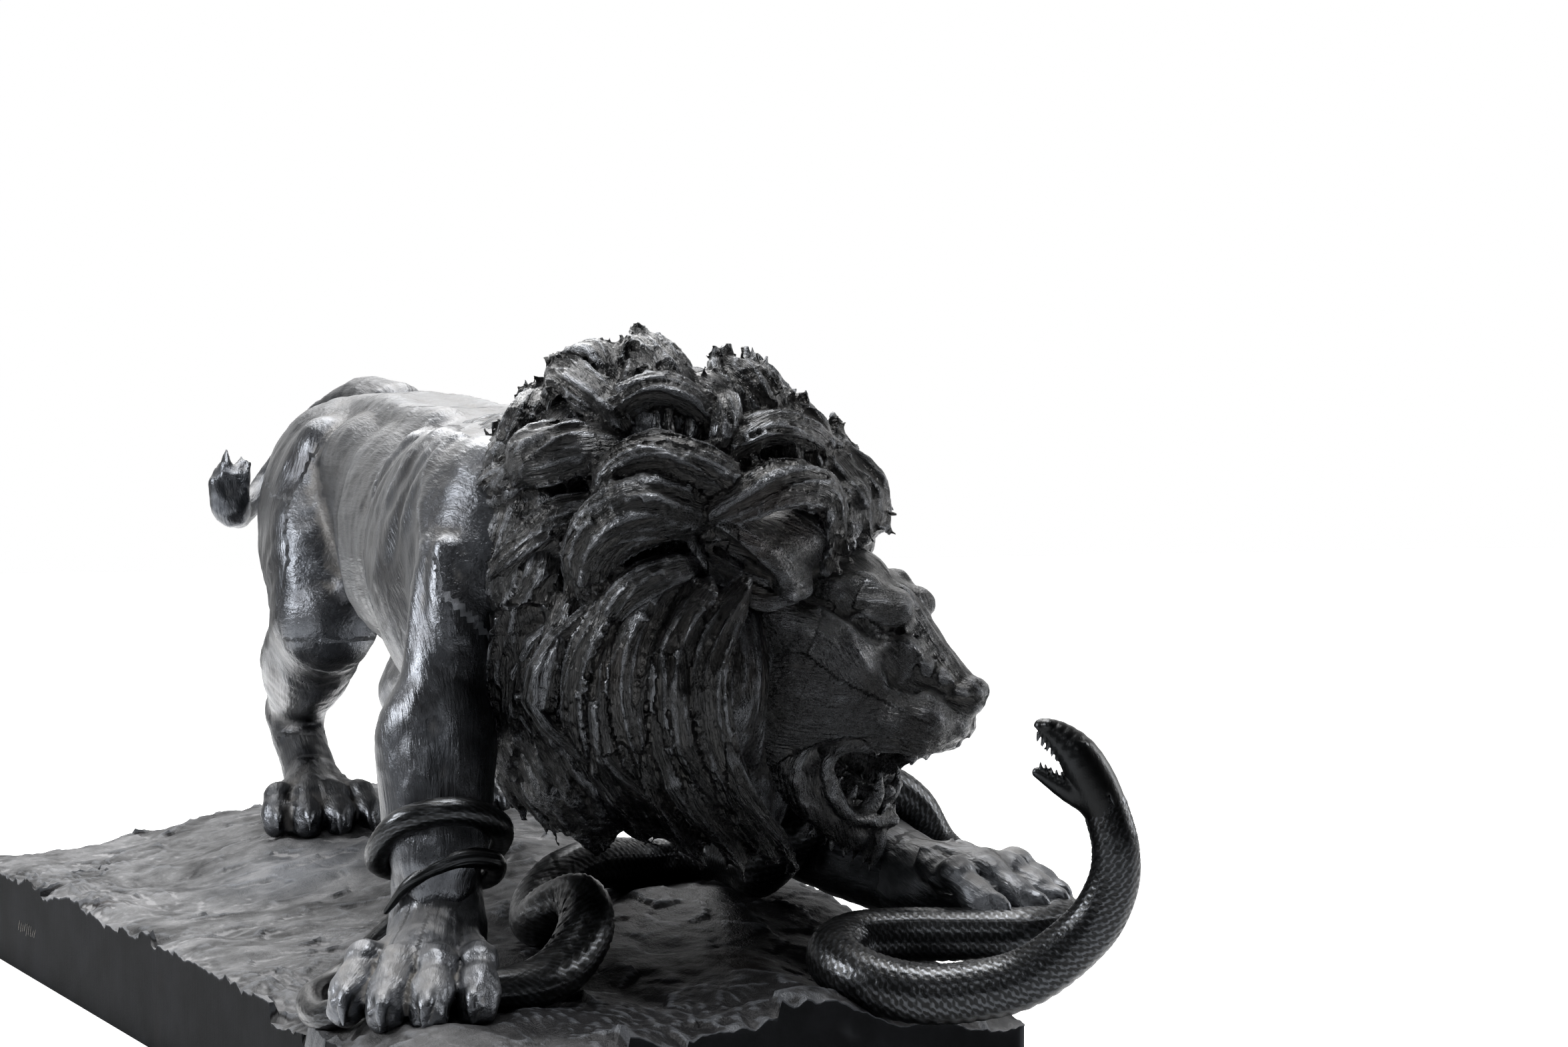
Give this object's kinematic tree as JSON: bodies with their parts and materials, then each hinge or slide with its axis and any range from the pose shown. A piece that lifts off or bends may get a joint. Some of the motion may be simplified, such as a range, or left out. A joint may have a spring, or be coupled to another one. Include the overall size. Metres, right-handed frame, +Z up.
{
  "type": "lion and snake sculpture",
  "caption": "Cast bronze lion with open jaws and a full mane, standing on a rocky oblong plinth and holding down a rearing snake with its forepaws",
  "frame": {"origin": "middle of the plinth's underside, at table height", "axes": "+X is where the lion walks and the plinth's long way, +Y is the lion's left, +Z is up"},
  "size_m": [1.0943, 0.4956, 0.5026],
  "materials": {
    "lion_bronze": "nearly black patinated bronze with a soft wax sheen, dust in the hollows and warm rubbed high points",
    "serpent_bronze": "nearly black patinated bronze with a scaly skin and brown spots at the neck",
    "base_bronze": "dusty matte dark bronze rock above smooth satin walls"
  },
  "bodies": {
    "root": {"lion": "lion_bronze", "serpent": "serpent_bronze", "rocky_base": "base_bronze"}
  },
  "joints": []
}
